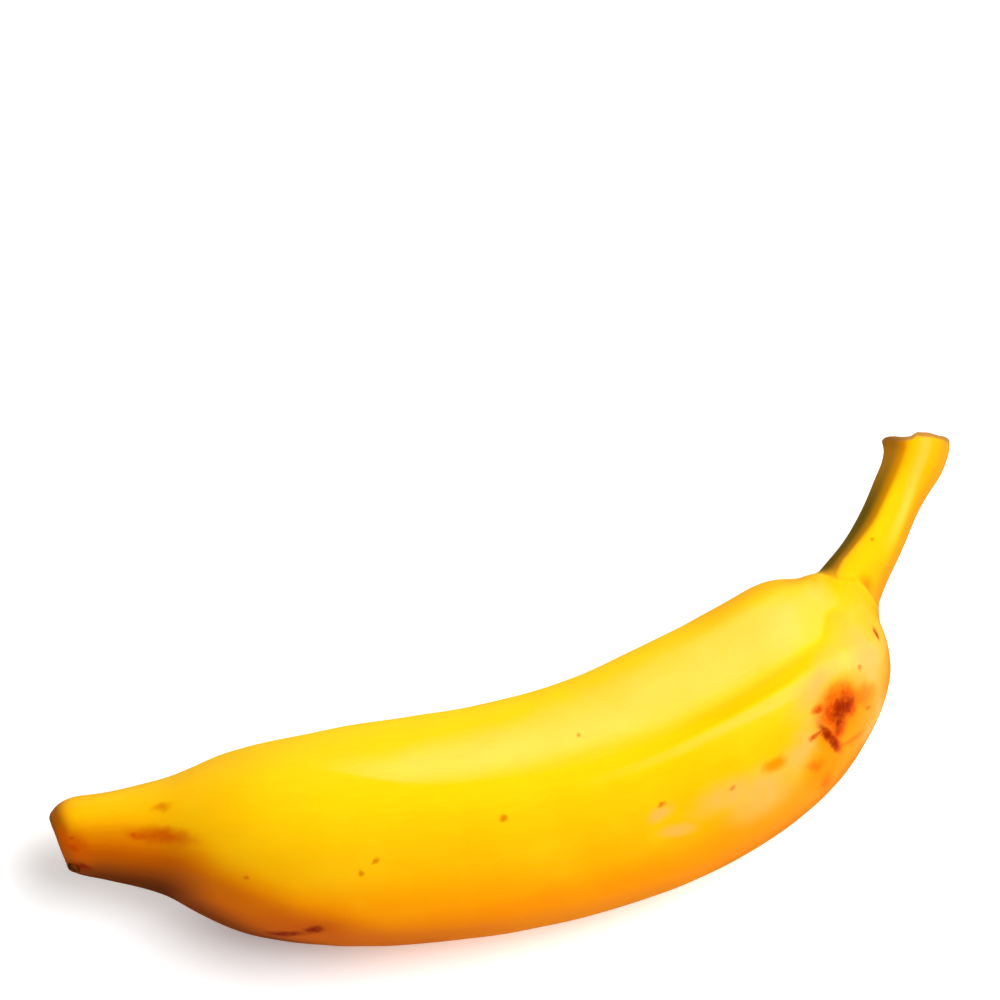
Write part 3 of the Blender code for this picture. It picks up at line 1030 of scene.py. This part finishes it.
def end_disc(name, ring, outward, share, sunk, face_rings, moved_out):
    """A thick disc set in the fruit's end at a ring, its outer face drawn in and raised ring by ring. It is
    moved out by as much as the peel round it is, which is a function of the place across the ring."""
    away = Vector((cos(ring.heading), sin(ring.heading), 0)) * outward
    bpy.ops.object.select_all(action="DESELECT")
    bpy.ops.mesh.primitive_cylinder_add(
        vertices=DISC_SIDES, radius=ring.half_depth * share, depth=DISC_DEPTH, end_fill_type="NGON",
        location=Vector(ring.middle) - away * (sunk + DISC_DEPTH / 2),
        rotation=(0, pi / 2 * outward, ring.heading), scale=(1, ring.half_width / ring.half_depth, 1),
    )
    obj = bpy.context.object
    obj.name = obj.data.name = name
    apply_place()
    bpy.ops.object.mode_set(mode="EDIT")
    bpy.ops.mesh.select_mode(type="FACE")
    bpy.ops.mesh.select_all(action="DESELECT")
    bpy.ops.object.mode_set(mode="OBJECT")
    max(obj.data.polygons, key=lambda face: face.center.dot(away)).select = True
    bpy.ops.object.mode_set(mode="EDIT")
    for drawn_in, rise in face_rings:
        bpy.ops.mesh.inset(thickness=ring.half_depth * drawn_in, use_even_offset=False)
        bpy.ops.transform.translate(value=away * rise)
    bpy.ops.object.mode_set(mode="OBJECT")
    inward = Vector((-sin(ring.heading), cos(ring.heading), 0))
    for vertex in obj.data.vertices:
        across = (vertex.co - Vector(ring.middle)).dot(inward) / ring.half_width
        vertex.co += away * float(moved_out(across))
    lay_down(obj)
    subdivide(obj, 3)
    return obj


def roughen(obj, size, height):
    """Raises and lowers a piece's skin in cloudy lumps of about this size."""
    clouds = bpy.data.textures.new("clouds", "CLOUDS")
    clouds.noise_scale = size
    apply_modifier(obj, "Rough", "DISPLACE", texture=clouds, texture_coords="LOCAL", strength=height)


def dry_material(name, dark, light, lump, spots, spot_size):
    """Dry, rough plant matter: dark in its hollows, with spots of the darkest where vessels end."""
    material, graph, shader = new_material(name)
    place = graph.node("ShaderNodeTexCoord", {}, {}, "Object")
    lumps = graph.noise(place, lump, 4, 0.65)
    colour = graph.mix(graph.between(lumps, 0.35, 0.68), dark, light)
    cells = graph.node("ShaderNodeTexVoronoi", {}, {"Vector": place, "Scale": 1 / spot_size})
    colour = graph.mix(graph.between(cells, 0.34, 0.16) * spots, colour, dark)
    height = lumps * 0.5 + graph.noise(place, lump / 4, 2) * 0.2
    graph.feed(shader, {
        "Base Color": colour,
        "Roughness": graph.between(lumps, 0.3, 0.7, 0.9, 0.65),
        "Normal": graph.node("ShaderNodeBump", {}, {"Strength": 0.8, "Distance": lump, "Height": height}),
        "Specular IOR Level": DRY_GLOSS,
    })
    return material


class BANANA_OT_blossom_scar(Operator):
    """Build the dry scar of the blossom, with the stub of its style and a loose flap at its lower corner"""

    bl_idname = "banana.blossom_scar"
    bl_label = "Blossom scar"

    def execute(self, context):
        settings, stage = context.scene.banana_ends, context.scene.banana_stage
        flap_place = seen_on(surface_of(context.scene.objects["peel"].data), stage, FLAP_PIXEL)[0]
        scar = end_disc(
            "blossom_scar", cage_rings()[0], -1, SCAR_SHARE, SCAR_SUNK, SCAR_RINGS, lambda across: END_BULGE
        )
        bpy.ops.object.select_all(action="DESELECT")
        bpy.ops.mesh.primitive_ico_sphere_add(
            subdivisions=5, radius=FLAP_RADIUS, location=flap_place,
            rotation=(0, radians(30), radians(-30)), scale=(1.3, 0.8, 0.7),
        )
        scar.select_set(True)
        context.view_layer.objects.active = scar
        bpy.ops.object.join()
        roughen(scar, 1.1 * MM, 0.5 * MM)
        roughen(scar, 0.4 * MM, 0.15 * MM)
        finish_piece(scar, dry_material(
            "scar", settings.scar_colour, settings.scar_edge, 0.8 * MM, 0.5, 0.9 * MM
        ))
        return {"FINISHED"}


class BANANA_OT_stalk_cut(Operator):
    """Build the cut end of the stalk: dried, fibrous flesh with the ends of its vessels"""

    bl_idname = "banana.stalk_cut"
    bl_label = "Stalk's cut"

    def execute(self, context):
        settings = context.scene.banana_ends
        cut = end_disc("stalk_cut", cage_rings()[-1], 1, CUT_SHARE, CUT_SUNK, CUT_RINGS, cut_rise)
        roughen(cut, 1.6 * MM, 0.3 * MM)
        roughen(cut, 0.4 * MM, 0.12 * MM)
        finish_piece(cut, dry_material(
            "cut", settings.cut_rim, settings.cut_colour, 1.1 * MM, 0.4, 0.75 * MM
        ))
        return {"FINISHED"}


def add_light(name, soft, power):
    """A square soft light that looks at the fruit. Only what it lights shows it, not the camera."""
    away = photo_axes(radians(soft.azimuth), radians(soft.elevation))[2]
    turn = away.to_track_quat("Z", "Y").to_euler()
    bpy.ops.object.light_add(type="AREA", location=AIM + away * soft.distance, rotation=turn)
    light = bpy.context.object
    light.name = name
    light.data.size, light.data.energy = soft.size, power
    light.visible_camera, light.visible_glossy = False, soft.mirrored


class BANANA_OT_stage(Operator):
    """Lay the pale surface and set up the light and the camera"""

    bl_idname = "banana.stage"
    bl_label = "Stage"

    def execute(self, context):
        stage = context.scene.banana_stage
        bpy.ops.object.select_all(action="DESELECT")
        bpy.ops.mesh.primitive_plane_add(size=FLOOR_SIZE, location=(0, 0, -0.02 * MM))
        floor = context.object
        floor.name = floor.data.name = "floor"
        apply_place()
        material, graph, shader = new_material("floor")
        graph.feed(shader, {
            "Base Color": stage.floor_colour,
            "Roughness": 0.9,
            "Specular IOR Level": 0.1,
            "Emission Color": (1, 1, 1),
            "Emission Strength": stage.floor_light,
        })
        floor.data.materials.append(material)
        floor.visible_glossy = False
        bpy.ops.object.camera_add(location=camera_place(stage))
        camera = context.object
        camera.rotation_euler = Matrix(photo_axes(stage.azimuth, stage.elevation)).transposed().to_euler()
        camera.data.lens, camera.data.sensor_width = stage.lens, SENSOR
        camera.data.clip_start = 0.01
        context.scene.camera = camera
        add_light("key", KEY_LIGHT, stage.key)
        add_light("sheen", SHEEN_LIGHT, stage.sheen)
        add_light("back", BACK_LIGHT, stage.back)
        add_light("side", SIDE_LIGHT, stage.side)
        world = bpy.data.worlds.new("studio")
        world.use_nodes = True
        background = world.node_tree.nodes["Background"]
        background.inputs["Color"].default_value = (1, 1, 1, 1)
        background.inputs["Strength"].default_value = stage.sky
        context.scene.world = world
        context.scene.view_settings.view_transform = "Standard"
        return {"FINISHED"}


class BANANA_PT_panel(Panel):
    """Builds the fruit a piece at a time, with the colours and strengths listed below"""

    bl_label = "Apple Banana"
    bl_space_type = "VIEW_3D"
    bl_region_type = "UI"
    bl_category = "Banana"

    def draw(self, context):
        for operator in OPERATORS:
            self.layout.operator(operator.bl_idname)
        for name, group in SETTINGS.items():
            box = self.layout.box()
            for key in group.__annotations__:
                box.prop(getattr(context.scene, name), key)


OPERATORS = (BANANA_OT_peel, BANANA_OT_blossom_scar, BANANA_OT_stalk_cut, BANANA_OT_stage)
SETTINGS = {"banana_peel": PeelSettings, "banana_ends": EndSettings, "banana_stage": StageSettings}
CLASSES = (*SETTINGS.values(), *OPERATORS, BANANA_PT_panel)


def register():
    for cls in CLASSES:
        bpy.utils.register_class(cls)
    for name, group in SETTINGS.items():
        setattr(bpy.types.Scene, name, PointerProperty(type=group))


def unregister():
    for name in SETTINGS:
        delattr(bpy.types.Scene, name)
    for cls in reversed(CLASSES):
        bpy.utils.unregister_class(cls)


def main():
    register()
    bpy.ops.banana.peel()
    bpy.ops.banana.blossom_scar()
    bpy.ops.banana.stalk_cut()
    bpy.ops.banana.stage()


if __name__ == "__main__":
    main()
